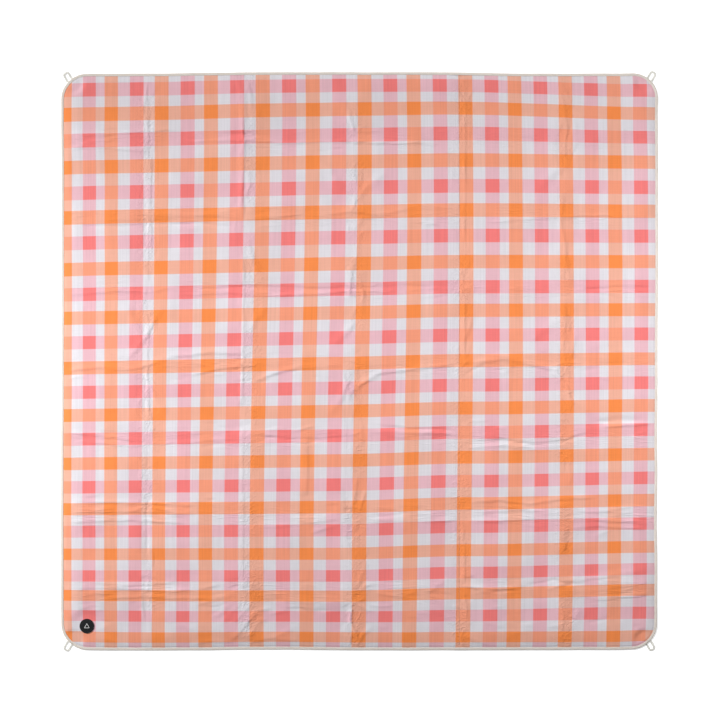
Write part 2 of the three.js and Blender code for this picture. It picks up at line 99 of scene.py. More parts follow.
NARROW_CREASES = (
    (-3.4, 9, ((-0.955, 1.135), (-0.6, 1.145), (-0.4, 1.13), (-0.075, 1.145), (0.15, 1.14), (0.465, 1.15))),
    (2.5, 8, ((-0.98, 1.095), (-0.65, 1.105), (-0.4, 1.095), (-0.075, 1.1), (0.205, 1.09), (0.455, 1.1))),
    (2.3, 9, ((-1.48, 1.07), (-1.255, 1.07), (-1.055, 1.05))),
    (1.6, 9, ((-1.48, 1.14), (-1.305, 1.135), (-1.055, 1.155), (-0.905, 1.165))),
    (2.2, 8, ((-1.29, 0.735), (-1.055, 0.73), (-0.725, 0.73), (-0.575, 0.71), (-0.4, 0.72), (-0.25, 0.74))),
    (-1.9, 8, ((-1.43, 0.68), (-1.055, 0.685), (-0.8, 0.695), (-0.6, 0.67))),
    (1.4, 8, ((-0.225, 0.73), (-0.05, 0.745), (0.1, 0.735), (0.33, 0.775), (0.505, 0.76))),
    (1.4, 8, ((0.605, 0.69), (0.855, 0.71), (1.155, 0.73), (1.485, 0.72))),
    (-2.2, 7, ((-0.915, 0.365), (-0.7, 0.37), (-0.45, 0.375), (-0.2, 0.365), (0.15, 0.375), (0.43, 0.385))),
    (1.9, 7, ((-0.93, 0.33), (-0.7, 0.34), (-0.4, 0.325), (-0.15, 0.34), (0, 0.35), (0.205, 0.345))),
    (-2.3, 7, ((1.105, 0.36), (1.26, 0.37), (1.485, 0.37))),
    (1.7, 8, ((-1.48, 0.33), (-1.255, 0.345), (-0.98, 0.345))),
    (2.0, 9, ((-1.475, -0.055), (-1.305, -0.03), (-1.185, -0.045))),
    (2.3, 9, ((-1.195, -0.055), (-1.055, -0.02), (-0.93, 0.02), (-0.75, 0.04), (-0.55, 0.035))),
    (1.9, 8, ((-0.855, -0.075), (-0.7, -0.04), (-0.5, -0.02))),
    (2.2, 9, ((-0.55, -0.12), (-0.43, -0.065), (-0.3, -0.035), (-0.075, -0.025))),
    (2.2, 9, ((-0.075, -0.21), (-0.01, -0.125), (0.1, -0.065), (0.28, -0.04), (0.49, -0.02))),
    (2.6, 9, ((0.53, -0.05), (0.63, -0.005), (0.73, 0.01), (0.855, -0.015),
     (0.98, -0.055), (1.04, -0.125), (1.07, -0.205), (1.195, -0.3))),
    (-2.8, 9, ((1.175, -0.3), (1.31, -0.29), (1.49, -0.29))),
    (2.2, 8, ((1.21, -0.335), (1.36, -0.32), (1.49, -0.32))),
    (-2.3, 7, ((0.08, -0.325), (0.255, -0.335), (0.49, -0.345))),
    (1.9, 7, ((0.06, -0.36), (0.255, -0.36), (0.49, -0.37))),
    (-1.7, 8, ((-0.59, -0.375), (-0.4, -0.385), (-0.2, -0.39), (-0.05, -0.375))),
    (-1.9, 8, ((0.575, -0.405), (0.73, -0.395), (0.855, -0.415), (1.005, -0.405), (1.18, -0.35))),
    (1.4, 8, ((0.53, -0.435), (0.73, -0.43), (0.905, -0.44))),
    (1.4, 8, ((-1.48, -0.36), (-1.305, -0.375), (-1.08, -0.405))),
    (1.2, 8, ((-1.43, -0.405), (-1.155, -0.425), (-0.855, -0.41), (-0.625, -0.39))),
    (1.6, 8, ((-1.485, -0.715), (-1.205, -0.71), (-0.905, -0.725), (-0.6, -0.72))),
    (1.2, 7, ((-1.455, -0.76), (-1.155, -0.76), (-0.75, -0.765), (-0.6, -0.77))),
    (1.3, 8, ((-1.48, -0.81), (-1.155, -0.8), (-0.855, -0.815))),
    (1.5, 8, ((0.53, -0.715), (0.705, -0.7), (0.855, -0.72), (1.005, -0.695), (1.21, -0.685))),
    (1.2, 7, ((0.605, -0.76), (0.805, -0.75), (1.005, -0.77), (1.36, -0.745))),
    (3.0, 11, ((-0.54, -0.835), (-0.4, -0.83), (-0.275, -0.815), (-0.175, -0.805), (-0.07, -0.78))),
    (1.5, 8, ((-0.25, -0.87), (-0.15, -0.835), (-0.075, -0.815))),
    (2.0, 8, ((0.05, -0.8), (0.255, -0.805), (0.5, -0.8))),
    (2.0, 7, ((0.51, -0.81), (0.705, -0.8), (0.955, -0.795), (1.21, -0.8), (1.475, -0.815))),
    (1.3, 7, ((1.03, -0.84), (1.21, -0.83), (1.46, -0.845))),
    (1.6, 8, ((-1.43, -1.145), (-1.23, -1.14), (-1.005, -1.155), (-0.8, -1.15))),
    (1.2, 7, ((-1.305, -1.19), (-1.055, -1.185), (-0.75, -1.195), (-0.575, -1.175))),
    (1.2, 7, ((-1.355, -1.115), (-1.105, -1.125), (-0.905, -1.11))),
    (1.8, 7, ((0.505, -1.13), (0.655, -1.145), (0.805, -1.14))),
    (1.5, 8, ((0.98, -1.1), (1.105, -1.105), (1.26, -1.08), (1.475, -1.05))),
    (1.6, 8, ((1.005, -1.165), (1.155, -1.16), (1.31, -1.13), (1.48, -1.115))),
    (1.2, 8, ((1.155, -1.2), (1.36, -1.185), (1.48, -1.165))),
    (2.4, 10, ((-0.45, -1.16), (-0.325, -1.215), (-0.175, -1.21), (-0.05, -1.215), (-0.01, -1.24))),
    (2.4, 6, ((-0.5, -1.24), (-0.55, -1.3), (-0.6, -1.36), (-0.645, -1.41))),
    (1.6, 5, ((-0.535, -1.215), (-0.585, -1.27), (-0.635, -1.32))),
    (1.4, 5, ((-0.475, -1.28), (-0.52, -1.335), (-0.55, -1.39))),
    (1.6, 5, ((-0.59, -1.21), (-0.645, -1.27), (-0.7, -1.325))),
    (1.2, 5, ((-0.62, -1.2), (-0.67, -1.245), (-0.725, -1.29))),
    (2.2, 6, ((-0.035, -1.235), (-0.045, -1.3), (-0.02, -1.355), (0, -1.4))),
    (1.6, 5, ((-0.035, -1.205), (0.02, -1.24), (0.065, -1.265))),
    (1.4, 5, ((0.07, -1.325), (0.02, -1.375), (-0.01, -1.425))),
    (1.6, 8, ((-0.075, -1.325), (-0.04, -1.375), (-0.05, -1.43))),
    (1.5, 8, ((-0.55, -1.415), (-0.45, -1.395), (-0.3, -1.41))),
    (1.6, 8, ((0.52, -1.375), (0.58, -1.41), (0.705, -1.435))),
    (1.4, 8, ((-0.625, -1.415), (-0.75, -1.405), (-0.855, -1.425))),
    (1.4, 8, ((-1.48, -1.325), (-1.445, -1.385), (-1.355, -1.425))),
    (1.4, 8, ((-1.29, -1.39), (-1.215, -1.415), (-1.155, -1.435))),
    (2.9, 7, ((-0.585, 1.41), (-0.58, 1.06), (-0.59, 0.76), (-0.58, 0.635))),
    (2.9, 8, ((-0.585, -0.32), (-0.585, -0.575), (-0.585, -0.95), (-0.585, -1.2))),
    (2.2, 7, ((-0.56, 0.635), (-0.535, 0.51), (-0.5, 0.415), (-0.43, 0.365))),
    (1.9, 7, ((-0.61, 1.42), (-0.575, 1.335), (-0.57, 1.21))),
    (-1.3, 7, ((-1.06, -0.345), (-1.07, -0.7), (-1.07, -1))),
    (1.6, 7, ((-1.045, 1.06), (-1.05, 0.76), (-1.045, 0.51))),
    (1.4, 6, ((-0.585, 0.635), (-0.58, 0.205), (-0.585, -0.27))),
    (1.2, 6, ((-1.065, 1.435), (-1.06, 1.06), (-1.065, 0.305))),
    (1.4, 6, ((-1.065, 0.305), (-1.06, -0.145), (-1.065, -0.395))),
    (2.5, 8, ((-0.98, 0.275), (-1.03, 0.205), (-1.065, 0.13), (-1.125, 0.055), (-1.16, -0.005))),
    (1.9, 8, ((-1.185, 0.295), (-1.13, 0.205), (-1.09, 0.105))),
    (2.0, 8, ((-1.055, -0.095), (-1.015, -0.195), (-0.965, -0.27))),
    (2.2, 8, ((-0.22, 1.045), (-0.145, 0.955), (-0.075, 0.85))),
    (2.3, 8, ((0.14, 0.95), (0.05, 0.875), (-0.005, 0.82))),
    (1.7, 8, ((-0.13, 1.3), (-0.05, 1.235), (-0.02, 1.135))),
    (2.0, 7, ((-0.015, 0.82), (-0.03, 0.76), (0.045, 0.735))),
    (2.0, 8, ((-0.03, 0.51), (-0.045, 0.405), (-0.05, 0.305))),
    (2.2, 8, ((-0.01, 0.195), (-0.075, 0.135), (-0.14, 0.075))),
    (2.2, 8, ((-0.05, -0.095), (-0.09, -0.195), (-0.15, -0.27))),
    (1.7, 8, ((0.125, 0.205), (0.205, 0.145), (0.27, 0.08))),
    (1.9, 8, ((-0.46, 0.275), (-0.52, 0.205), (-0.54, 0.155))),
    (1.9, 8, ((-0.7, -0.105), (-0.625, -0.17), (-0.59, -0.225))),
    (1.2, 20, ((-0.27, -0.365), (-0.265, -0.495), (-0.27, -0.7))),
    (1.1, 6, ((0.53, 1.41), (0.53, 0.985), (0.53, 0.51))),
    (1.9, 7, ((0.53, 0.305), (0.525, -0.02))),
    (1.2, 7, ((0.525, -0.825), (0.53, -1.125))),
    (0.8, 7, ((1, 1.385), (1.03, 1.285), (1.04, 1.155), (1.025, 0.985))),
    (1.2, 7, ((1.025, 0.86), (1.01, 0.71), (1.035, 0.56), (1.025, 0.405))),
    (1.2, 7, ((1.015, 0.305), (1.035, 0.205), (1.025, 0.055), (1.05, -0.095))),
    (2.0, 8, ((0.855, 0.095), (0.93, 0.155), (1.005, 0.205))),
    (1.9, 8, ((0.905, 0.86), (0.955, 0.93), (1.055, 0.985))),
)

# Bands of short wrinkles: their two ends, half width, how many, and how far they lean, in degrees.
CRINKLE_BANDS = (
    ((-1.45, 1.11), (0.50, 1.12), 0.05, 39, 8),
    ((-1.45, 0.71), (0.55, 0.73), 0.04, 36, 8),
    ((-1.10, 0.35), (1.45, 0.35), 0.03, 36, 7),
    ((-1.45, -0.03), (1.45, -0.04), 0.08, 54, 20),
    ((-1.45, -0.38), (1.45, -0.36), 0.06, 51, 12),
    ((-1.45, -0.72), (1.45, -0.78), 0.07, 66, 8),
    ((-1.45, -1.15), (1.45, -1.14), 0.06, 66, 12),
    ((-1.35, -1.30), (1.40, -1.32), 0.09, 51, 35),
    ((-1.06, 1.40), (-1.06, -1.40), 0.035, 39, 30),
    ((-0.58, 1.40), (-0.59, -1.40), 0.045, 45, 30),
    ((-0.02, 1.40), (-0.03, -1.40), 0.06, 51, 35),
    ((0.54, 1.40), (0.54, -1.40), 0.04, 24, 25),
    ((1.04, 1.40), (1.03, -1.40), 0.045, 45, 30),
)

RIPPLE_WAVES = 14
TENT_ROUNDING = 4 * MM           # how blunt the ridge of a broad crease is
NARROW_GAIN = 1.5                # what the narrow creases' heights are multiplied by
GENTLE_SIDE = 1.9                # how far a narrow crease spreads on its gentle side, in reaches
STEEP_SIDE = 0.42
STEEPEST = 3.2 * MM


# ---- shape of the mat

def smooth(low, high, value):
    t = np.clip((value - low) / (high - low), 0, 1)
    return t * t * (3 - 2 * t)


def ripples(x, y, seed, longest, shortest):
    """Gentle random waves between two lengths, about -1 to 1."""
    draw = random.Random(seed)
    total = np.zeros_like(x)
    for _ in range(RIPPLE_WAVES):
        length = longest * (shortest / longest) ** draw.random()
        angle = draw.uniform(0, math.pi)
        phase = draw.uniform(0, math.tau)
        across = x * math.cos(angle) + y * math.sin(angle)
        total += np.sin(across * math.tau / length + phase)
    return total / math.sqrt(RIPPLE_WAVES)


def round_corners(a, b):
    """Wraps the square corners of a grid onto the mat's round ones, ring by ring."""
    ca = np.clip(np.abs(a) - (HALF_WIDTH - CORNER_RADIUS), 0, None)
    cb = np.clip(np.abs(b) - (HALF_DEPTH - CORNER_RADIUS), 0, None)
    ring = np.maximum(ca, cb)
    angle = math.pi / 4 * np.minimum(ca, cb) / np.maximum(ring, 1e-9)
    longer = ring * np.cos(angle)
    shorter = ring * np.sin(angle)
    inside = np.minimum(ca, cb) > 0
    x_part = np.where(ca >= cb, longer, shorter)
    y_part = np.where(ca >= cb, shorter, longer)
    x = np.where(inside, np.sign(a) * (HALF_WIDTH - CORNER_RADIUS + x_part), a)
    y = np.where(inside, np.sign(b) * (HALF_DEPTH - CORNER_RADIUS + y_part), b)
    return x, y


def edge_inset(x, y):
    """How far a point is inside the mat's outline."""
    ca = np.abs(x) - (HALF_WIDTH - CORNER_RADIUS)
    cb = np.abs(y) - (HALF_DEPTH - CORNER_RADIUS)
    outside = np.hypot(np.maximum(ca, 0), np.maximum(cb, 0))
    return CORNER_RADIUS - outside - np.minimum(np.maximum(ca, cb), 0)


def bow(x, y):
    """The real outline isn't quite straight: moves a point of the plan a few millimetres."""
    far = smooth(0.9, 1.45, y)
    near = smooth(0.9, 1.45, -y)
    right = smooth(1.0, 1.5, x)
    left = smooth(1.0, 1.5, -x)
    middle = smooth(0.35, 1.0, np.abs(x + 0.1))
    dy = far * (2 - 8 * middle) - near * (1 + 1.5 * np.sin(4.1 * x))
    dx = left * (1.5 * np.sin(2.3 * y + 0.4)) - right * (4 - 2.5 * np.cos(2.1 * (y - 0.7)))
    corner = smooth(0.16, 0.0, np.hypot(np.abs(x) - 1.44, np.abs(y) - 1.39))
    grow = np.where(y > 0, np.where(x > 0, 3.0, -1.0), -2.5) * corner
    wave = ripples(x, y, 11, 0.9, 0.25) * 0.8 * np.maximum(np.maximum(far, near), np.maximum(left, right))
    return x + (dx + np.sign(x) * grow + wave) * MM, y + (dy + np.sign(y) * grow + wave) * MM


def along_crease(x, y, path):
    """Distance to a crease's line, how far along it from 0 to 1, and whether on the key light's side."""
    lengths = [math.dist(p, q) for p, q in zip(path, path[1:])]
    nearest = np.full_like(x, 9.0)
    place = np.zeros_like(x)
    lit = np.zeros_like(x, bool)
    before = 0.0
    for (x0, y0), (x1, y1), length in zip(path, path[1:], lengths):
        dx, dy = x1 - x0, y1 - y0
        t = np.clip(((x - x0) * dx + (y - y0) * dy) / length ** 2, 0, 1)
        distance = np.hypot(x - x0 - t * dx, y - y0 - t * dy)
        left = dx * (y - y0) - dy * (x - x0)
        towards = dx * KEY_WAY[1] - dy * KEY_WAY[0]
        closer = distance < nearest
        nearest = np.where(closer, distance, nearest)
        place = np.where(closer, (before + t * length) / sum(lengths), place)
        lit = np.where(closer, left * towards > 0, lit)
        before += length
    return nearest, place, lit


def short_wrinkles():
    """The many small wrinkles that crowd along the folds, in the same form as a narrow crease."""
    draw = random.Random(77)
    found = []
    for (x0, y0), (x1, y1), half, count, lean in CRINKLE_BANDS:
        way = math.atan2(y1 - y0, x1 - x0)
        for _ in range(count):
            share = draw.random()
            off = draw.gauss(0, 0.55) * half
            x = x0 + (x1 - x0) * share - math.sin(way) * off
            y = y0 + (y1 - y0) * share + math.cos(way) * off
            turn = way + math.radians(draw.gauss(0, lean))
            reach = draw.uniform(0.02, 0.10)
            bend = draw.gauss(0, 0.12) * reach
            dx, dy = math.cos(turn), math.sin(turn)
            start = (x - dx * reach, y - dy * reach)
            middle = (x - dy * bend, y + dx * bend)
            stop = (x + dx * reach, y + dy * reach)
            height = draw.uniform(0.35, 1.25) * (1 if draw.random() < 0.6 else -0.9)
            found.append((height, draw.uniform(4.5, 7.5), (start, middle, stop)))
    return tuple(found)


def broad_profile(distance, reach):
    """A tent with a blunt ridge."""
    return np.exp(-np.sqrt(distance ** 2 + TENT_ROUNDING ** 2) / reach)


def narrow_profile(distance, reach, gentle):
    """Falls gently on one side of the crease and steeply on the other."""
    side = np.where(gentle, reach * GENTLE_SIDE, max(STEEPEST, STEEP_SIDE * reach))
    return NARROW_GAIN * np.exp(-(distance / side) ** 2)


def crease_heights(x, y):
    """All creases added up, in mm. A narrow ridge is gentle towards the light and steep away from it."""
    total = np.zeros_like(x)
    for table, taper, broad, wobble in (
        (BROAD_CREASES, 0.06, True, 1.2 * MM),
        (NARROW_CREASES, 0.15, False, 1.8 * MM),
        (short_wrinkles(), 0.25, False, 4 * MM),
    ):
        xw = x + wobble * ripples(x, y, 21, 0.40, 0.08)
        yw = y + wobble * ripples(x, y, 22, 0.40, 0.08)
        for height, reach, path in table:
            reach *= MM
            px, py = zip(*path)
            room = reach * (5 if broad else 4) + 0.02
            near = (x > min(px) - room) & (x < max(px) + room) & (y > min(py) - room) & (y < max(py) + room)
            distance, place, lit = along_crease(xw[near], yw[near], path)
            ends = smooth(0, taper, np.minimum(place, 1 - place))
            if broad:
                profile = broad_profile(distance, reach)
            else:
                profile = narrow_profile(distance, reach, lit if height > 0 else ~lit)
            total[near] += height * ends * profile
    return total


def loop_room(x, y):
    """1 where a peg loop lies once it is turned over the mat, and the cloth stays low, and 0 elsewhere."""
    return smooth(64 * MM, 34 * MM, np.hypot(np.abs(x) - LOOP_REST[0], np.abs(y) - LOOP_REST[1]))


def swell(x, y):
    """How far the whole mat, all its layers, stands off the floor."""
    base = 3.8 + crease_heights(x, y)
    base = base + 1.3 * ripples(x, y, 31, 0.80, 0.35) + 0.4 * ripples(x, y, 32, 0.20, 0.09)
    base = 0.5 * (base + np.sqrt(base ** 2 + 0.5))
    base = np.minimum(base, 8.0 + 0.25 * (base - 8.0))
    badge = smooth(0.10, 0.045, np.hypot(x - BADGE[0], y - BADGE[1]))
    base = base + (1.6 - base) * badge
    base = base + (0.5 - base) * loop_room(x, y)
    inside = smooth(2 * MM, 95 * MM, edge_inset(x, y))
    return base * (0.16 + 0.84 * inside) * MM


def loft(x, y):
    """How much the wadding lifts the printed cloth beside the binding."""
    return 1.9 * MM * smooth(15 * MM, 46 * MM, edge_inset(x, y)) * (1 - 0.9 * loop_room(x, y))


def seam_dip(x, y):
    depth = 0.65 + 0.30 * np.sin(3.1 * y + 1.2) * np.sin(7.3 * y)
    return -depth * MM * np.exp(-((x - SEAM_X) / (2.6 * MM)) ** 2)


def edge_step(x, y):
    """The layers are thinner where the binding holds them: 0 under it, 1 inside it."""
    return smooth(14.2 * MM, 22 * MM, edge_inset(x, y))


def layer_face(pinched, free, padded=False):
    """Height function of one face of a layer, in mm above the swell.

    It is pinched under the binding and free inside it, where padded faces follow the wadding's loft."""
    def height(x, y):
        full = free * MM
        if padded:
            full = full + loft(x, y) + seam_dip(x, y)
        return swell(x, y) + pinched * MM + (full - pinched * MM) * edge_step(x, y)
    return height


backing_low = layer_face(1.12, 0.02)
backing_high = layer_face(1.92, 0.82)
wadding_low = layer_face(1.97, 1.12)
wadding_high = layer_face(2.1, 3.5, padded=True)
top_low = layer_face(2.2, 3.8, padded=True)
CLOTH_THICKNESS = 0.8 * MM


def crinkle(x, y):
    """Small wrinkles in the printed cloth alone, and its puckers along the binding."""
    inset = edge_inset(x, y)
    patches = smooth(-0.4, 1.2, ripples(x, y, 41, 0.8, 0.3))
    small = 0.22 * patches * ripples(x, y, 42, 0.10, 0.035)
    pucker = 0.40 * np.exp(-np.maximum(inset - BINDING_WIDTH, 0) / 0.016)
    wave = np.sin((x + y * 0.93) * math.tau / 0.031 + 2 * ripples(x, y, 43, 0.5, 0.2))
    return (small + pucker * wave) * edge_step(x, y) * MM


def top_high(x, y):
    return top_low(x, y) + CLOTH_THICKNESS + crinkle(x, y)


def face_height(x, y):
    """Height of the printed face at one point."""
    return float(top_high(np.array([x]), np.array([y]))[0])


# ---- meshes

def add_mesh(name, points, faces, uvs=None, sharp=50):
    mesh = bpy.data.meshes.new(name)
    mesh.from_pydata(np.asarray(points, float).tolist(), [], faces)
    mesh.update()
    if uvs is not None:
        layer = mesh.uv_layers.new(name="print")
        corner = np.zeros(len(mesh.loops), np.int32)
        mesh.loops.foreach_get("vertex_index", corner)
        layer.data.foreach_set("uv", np.asarray(uvs, np.float32)[corner].ravel())
    mesh.shade_smooth()
    mesh.set_sharp_from_angle(angle=math.radians(sharp))
    piece = bpy.data.objects.new(name, mesh)
    bpy.context.scene.collection.objects.link(piece)
    return piece


def spread(start, stop, step):
    return list(np.linspace(start, stop, max(1, math.ceil(abs(stop - start) / step)) + 1))


def join_lines(*runs):
    lines = []
    for run in runs:
        lines += [v for v in run if not lines or abs(v - lines[-1]) > 1e-6]
    return np.array(lines)


def ring_faces(rings, size, flip=False):
    """Quads between rings of points that follow one another."""
    faces = []
    for i in range(rings - 1):
        for k in range(size):
            a, b = i * size + k, i * size + (k + 1) % size
            quad = [a, b, b + size, a + size]
            faces.append(quad[::-1] if flip else quad)
    return faces


def capped_rings(rings, size, flip=False):
    """The same with both ends closed."""
    first = list(range(size))
    last = [(rings - 1) * size + k for k in first]
    caps = [first, last[::-1]] if flip else [first[::-1], last]
    return ring_faces(rings, size, flip) + caps


def run_length(points):
    """Distance along a line of points, from its first point."""
    return np.concatenate([[0], np.cumsum(np.hypot(*np.diff(points, axis=0).T))])


def bowed(plan):
    """Points of the plan as the real outline bows them."""
    return np.stack(bow(*np.asarray(plan).T), 1)


EDGE_INSETS = [2.2, 8, 15, 22, 30, 39, 50, 62, 76, 92, 110, 130]     # of the grid lines near the edge, in mm
CLOSE_CELL = 10 * MM
OPEN_CELL = 30 * MM
SEAM_LINES = np.array([0.06, 2.0, 4.6, 8.5, 14]) * MM
# Where wrinkles crowd: the middle and half width of each band.
COLUMN_BANDS = ((-1.061, 0.028), (-0.580, 0.036), (-0.270, 0.015), (-0.024, 0.045), (0.530, 0.028),
                (1.036, 0.040))
ROW_BANDS = ((1.110, 0.055), (0.712, 0.040), (0.354, 0.032), (-0.038, 0.075), (-0.367, 0.065),
             (-0.774, 0.090), (-1.151, 0.060), (-1.270, 0.050))


def paced(start, stop, bands):
    """Grid lines, close together in the bands of wrinkles and further apart elsewhere."""
    spots = np.linspace(start, stop, 4000)
    cell = np.full_like(spots, OPEN_CELL)
    for centre, half in bands:
        local = CLOSE_CELL + (OPEN_CELL - CLOSE_CELL) * smooth(half, half + 0.03, np.abs(spots - centre))
        cell = np.minimum(cell, local)
    count = np.concatenate([[0], np.cumsum((spots[1] - spots[0]) / cell[1:])])
    return list(np.interp(np.linspace(0, count[-1], math.ceil(count[-1]) + 1), count, spots))


def wide_lines():
    left = [-HALF_WIDTH + d * MM for d in EDGE_INSETS]
    return join_lines(left, paced(left[-1], SEAM_X - SEAM_LINES[-1], COLUMN_BANDS), SEAM_X - SEAM_LINES[::-1])


def narrow_lines():
    right = [HALF_WIDTH - d * MM for d in reversed(EDGE_INSETS)]
    return join_lines(SEAM_X + SEAM_LINES, paced(SEAM_X + SEAM_LINES[-1], right[0], COLUMN_BANDS), right)


def depth_lines():
    near = [-HALF_DEPTH + d * MM for d in EDGE_INSETS]
    return join_lines(near, paced(near[-1], -near[-1], ROW_BANDS), [-v for v in reversed(near)])


def halve(lines):
    fine = np.zeros(2 * len(lines) - 1)
    fine[::2] = lines
    fine[1::2] = (lines[:-1] + lines[1:]) / 2
    return fine


def grid_points(xs, ys, height):
    a, b = np.meshgrid(xs, ys, indexing="ij")
    x, y = round_corners(a, b)
    z = height(x.ravel(), y.ravel()).reshape(x.shape)
    return x, y, z


def grid_faces(nx, ny, first, upward):
    i, j = np.meshgrid(np.arange(nx - 1), np.arange(ny - 1), indexing="ij")
    a = (first + i * ny + j).ravel()
    quads = np.stack([a, a + ny, a + ny + 1, a + 1], 1)
    return (quads if upward else quads[:, ::-1]).tolist()


def rim_faces(nx, ny, tx, ty, top_first):
    """Closes the gap between a grid below and the grid above it, which may be twice as fine."""
    step = (tx - 1) // (nx - 1)

    def low(i, j):
        return i * ny + j

    def high(i, j):
        return top_first + i * ty + j

    faces = []
    sides = (
        [(i, 0) for i in range(nx)],
        [(nx - 1, j) for j in range(ny)],
        [(i, ny - 1) for i in reversed(range(nx))],
        [(0, j) for j in reversed(range(ny))],
    )
    for side in sides:
        for (i, j), (k, m) in zip(side, side[1:]):
            face = [low(i, j), low(k, m), high(k * step, m * step)]
            if step == 2:
                face.append(high(i + k, j + m))
            faces.append(face + [high(i * step, j * step)])
    return faces


CLOTH_SAG = 0.35 * MM            # how far the fine cloth may dip below the coarse surface


def coarse_surface(heights):
    """What a grid with half the lines would give: the coarser layer below must not show through."""
    flat = heights.copy()
    corners = heights[::2, ::2]
    flat[1::2, ::2] = (corners[:-1] + corners[1:]) / 2
    flat[::2, 1::2] = (corners[:, :-1] + corners[:, 1:]) / 2
    rising = (corners[:-1, :-1] + corners[1:, 1:]) / 2
    falling = (corners[:-1, 1:] + corners[1:, :-1]) / 2
    flat[1::2, 1::2] = np.maximum(rising, falling)
    return flat


def slab(name, xs, ys, low, high, fine=False):
    """A closed sheet between two height functions. Its upper face can have twice the lines."""
    x, y, z = grid_points(xs, ys, low)
    tx, ty = (halve(xs), halve(ys)) if fine else (xs, ys)
    X, Y, Z = grid_points(tx, ty, high)
    if fine:
        Z = np.maximum(Z, coarse_surface(Z) - CLOTH_SAG)
    plan = [np.concatenate([x.ravel(), X.ravel()]), np.concatenate([y.ravel(), Y.ravel()])]
    bx, by = bow(*plan)
    points = np.stack([bx, by, np.concatenate([z.ravel(), Z.ravel()])], 1)
    faces = grid_faces(len(xs), len(ys), 0, False)
    faces += grid_faces(len(tx), len(ty), len(xs) * len(ys), True)
    faces += rim_faces(len(xs), len(ys), len(tx), len(ty), len(xs) * len(ys))
    return add_mesh(name, points, faces, print_place(*plan))


# ---- the print

REPEAT_ACROSS = 0.506
FIRST_COLUMN = -0.997
ROW_FIT = (-0.01573, 0.01734, 0.00255, 0.04304, -2.02166, 2.49101)
# How far columns lie to the right of an even spacing, in mm, at places X.
STRETCH_X = (-1.45, -1.36, -1.23, -1.07, -0.90, -0.58, -0.25, 0.08, 0.40, 0.73, 1.06, 1.38)
STRETCH = (23, 15, 8, 3.5, 2.6, 4, 8, 11.5, 14, 15, 9, 6.5)
# How far rows drift away from where they are at X = -0.125, in mm, at heights Y.
DRIFT_Y = (-1.385, -1.28, -1.18, -1.08, -0.73, -0.23, 0.35, 1.05, 1.26, 1.39)
DRIFT_LEFT = (0, 7, 4, 0, -11, -21, -27, -27, -19, -13)
DRIFT_MIDDLE = (0, 6, 15, 17, 18, 16, 12, 9, 10, 0)
DRIFT_RIGHT = (1, 18, 30, 34, 35, 29, 14, -3, -17, -22)


def print_place(x, y):
    """Where in the print's repeats a point of the mat lies: across, and down from the top."""
    bend = smooth(-1.38, -0.63, x) * (1 - smooth(-0.25, 1.11, x)) * smooth(1.16, -1.0, y)
    bulge = (4 - 5 * y * y) * smooth(-0.2, 0.4, x)
    across = x + 0.0312 * bend - (np.interp(x, STRETCH_X, STRETCH) + bulge) * MM
    across = (across - FIRST_COLUMN) / REPEAT_ACROSS
    middle = np.interp(y, DRIFT_Y, DRIFT_MIDDLE) * smooth(-0.125, 0.55, x)
    right = (np.interp(y, DRIFT_Y, DRIFT_RIGHT) - np.interp(y, DRIFT_Y, DRIFT_MIDDLE))
    drift = middle + right * smooth(0.55, 1.5, x)
    drift = drift + np.interp(y, DRIFT_Y, DRIFT_LEFT) * np.clip((-0.125 - x) / 1.256, 0, 1.1)
    down = np.polyval(ROW_FIT, y + (2.2 + 1.5 * y - drift) * MM)
    return np.stack([across, down], 1)


# ---- runs along the outline

def half_outline(side, step):
    """Points of the outline from the seam's near end round one side to its far end.

    Gives the points, the directions outward and the distance along."""
    cx = side * (HALF_WIDTH - CORNER_RADIUS)
    cy = HALF_DEPTH - CORNER_RADIUS
    quarter = math.pi / 2

    def arc(start, stop, middle):
        return [
            (cx + side * CORNER_RADIUS * math.cos(angle), middle + CORNER_RADIUS * math.sin(angle), angle)
            for angle in spread(start, stop, step / CORNER_RADIUS)[:-1]
        ]

    stops = [(x, -HALF_DEPTH, -quarter) for x in spread(SEAM_X, cx, step)[:-1]]
    stops += arc(-quarter, 0, -cy)
    stops += [(side * HALF_WIDTH, y, 0) for y in spread(-cy, cy, step)[:-1]]
    stops += arc(0, quarter, cy)
    stops += [(x, HALF_DEPTH, quarter) for x in spread(cx, SEAM_X, step)]
    xs, ys, turn = np.array(stops).T
    points = np.stack([xs, ys], 1)
    out = np.stack([side * np.cos(turn), np.sin(turn)], 1)
    return points, out, run_length(points)


# Section of the binding tape: how far inside the outline, and how high above the swell, in mm.
TAPE_OUTER = ((13.8, 3.35), (13.7, 3.95), (12.6, 4.15), (11.6, 4.05), (10.4, 4.15), (8, 4.2), (4.5, 4.15),
              (2.2, 3.95), (0.8, 3.4), (0.1, 2.5), (0.0, 1.8), (0.3, 0.9), (1.3, 0.25), (3, 0.0), (8, 0.0),
              (15, 0.0))
TAPE_INNER = ((15, 0.8), (8, 0.8), (3, 0.85), (1.7, 1.1), (1.2, 1.7), (1.2, 2.5), (1.8, 3.1), (3, 3.3),
              (8, 3.35), (11.6, 3.3))


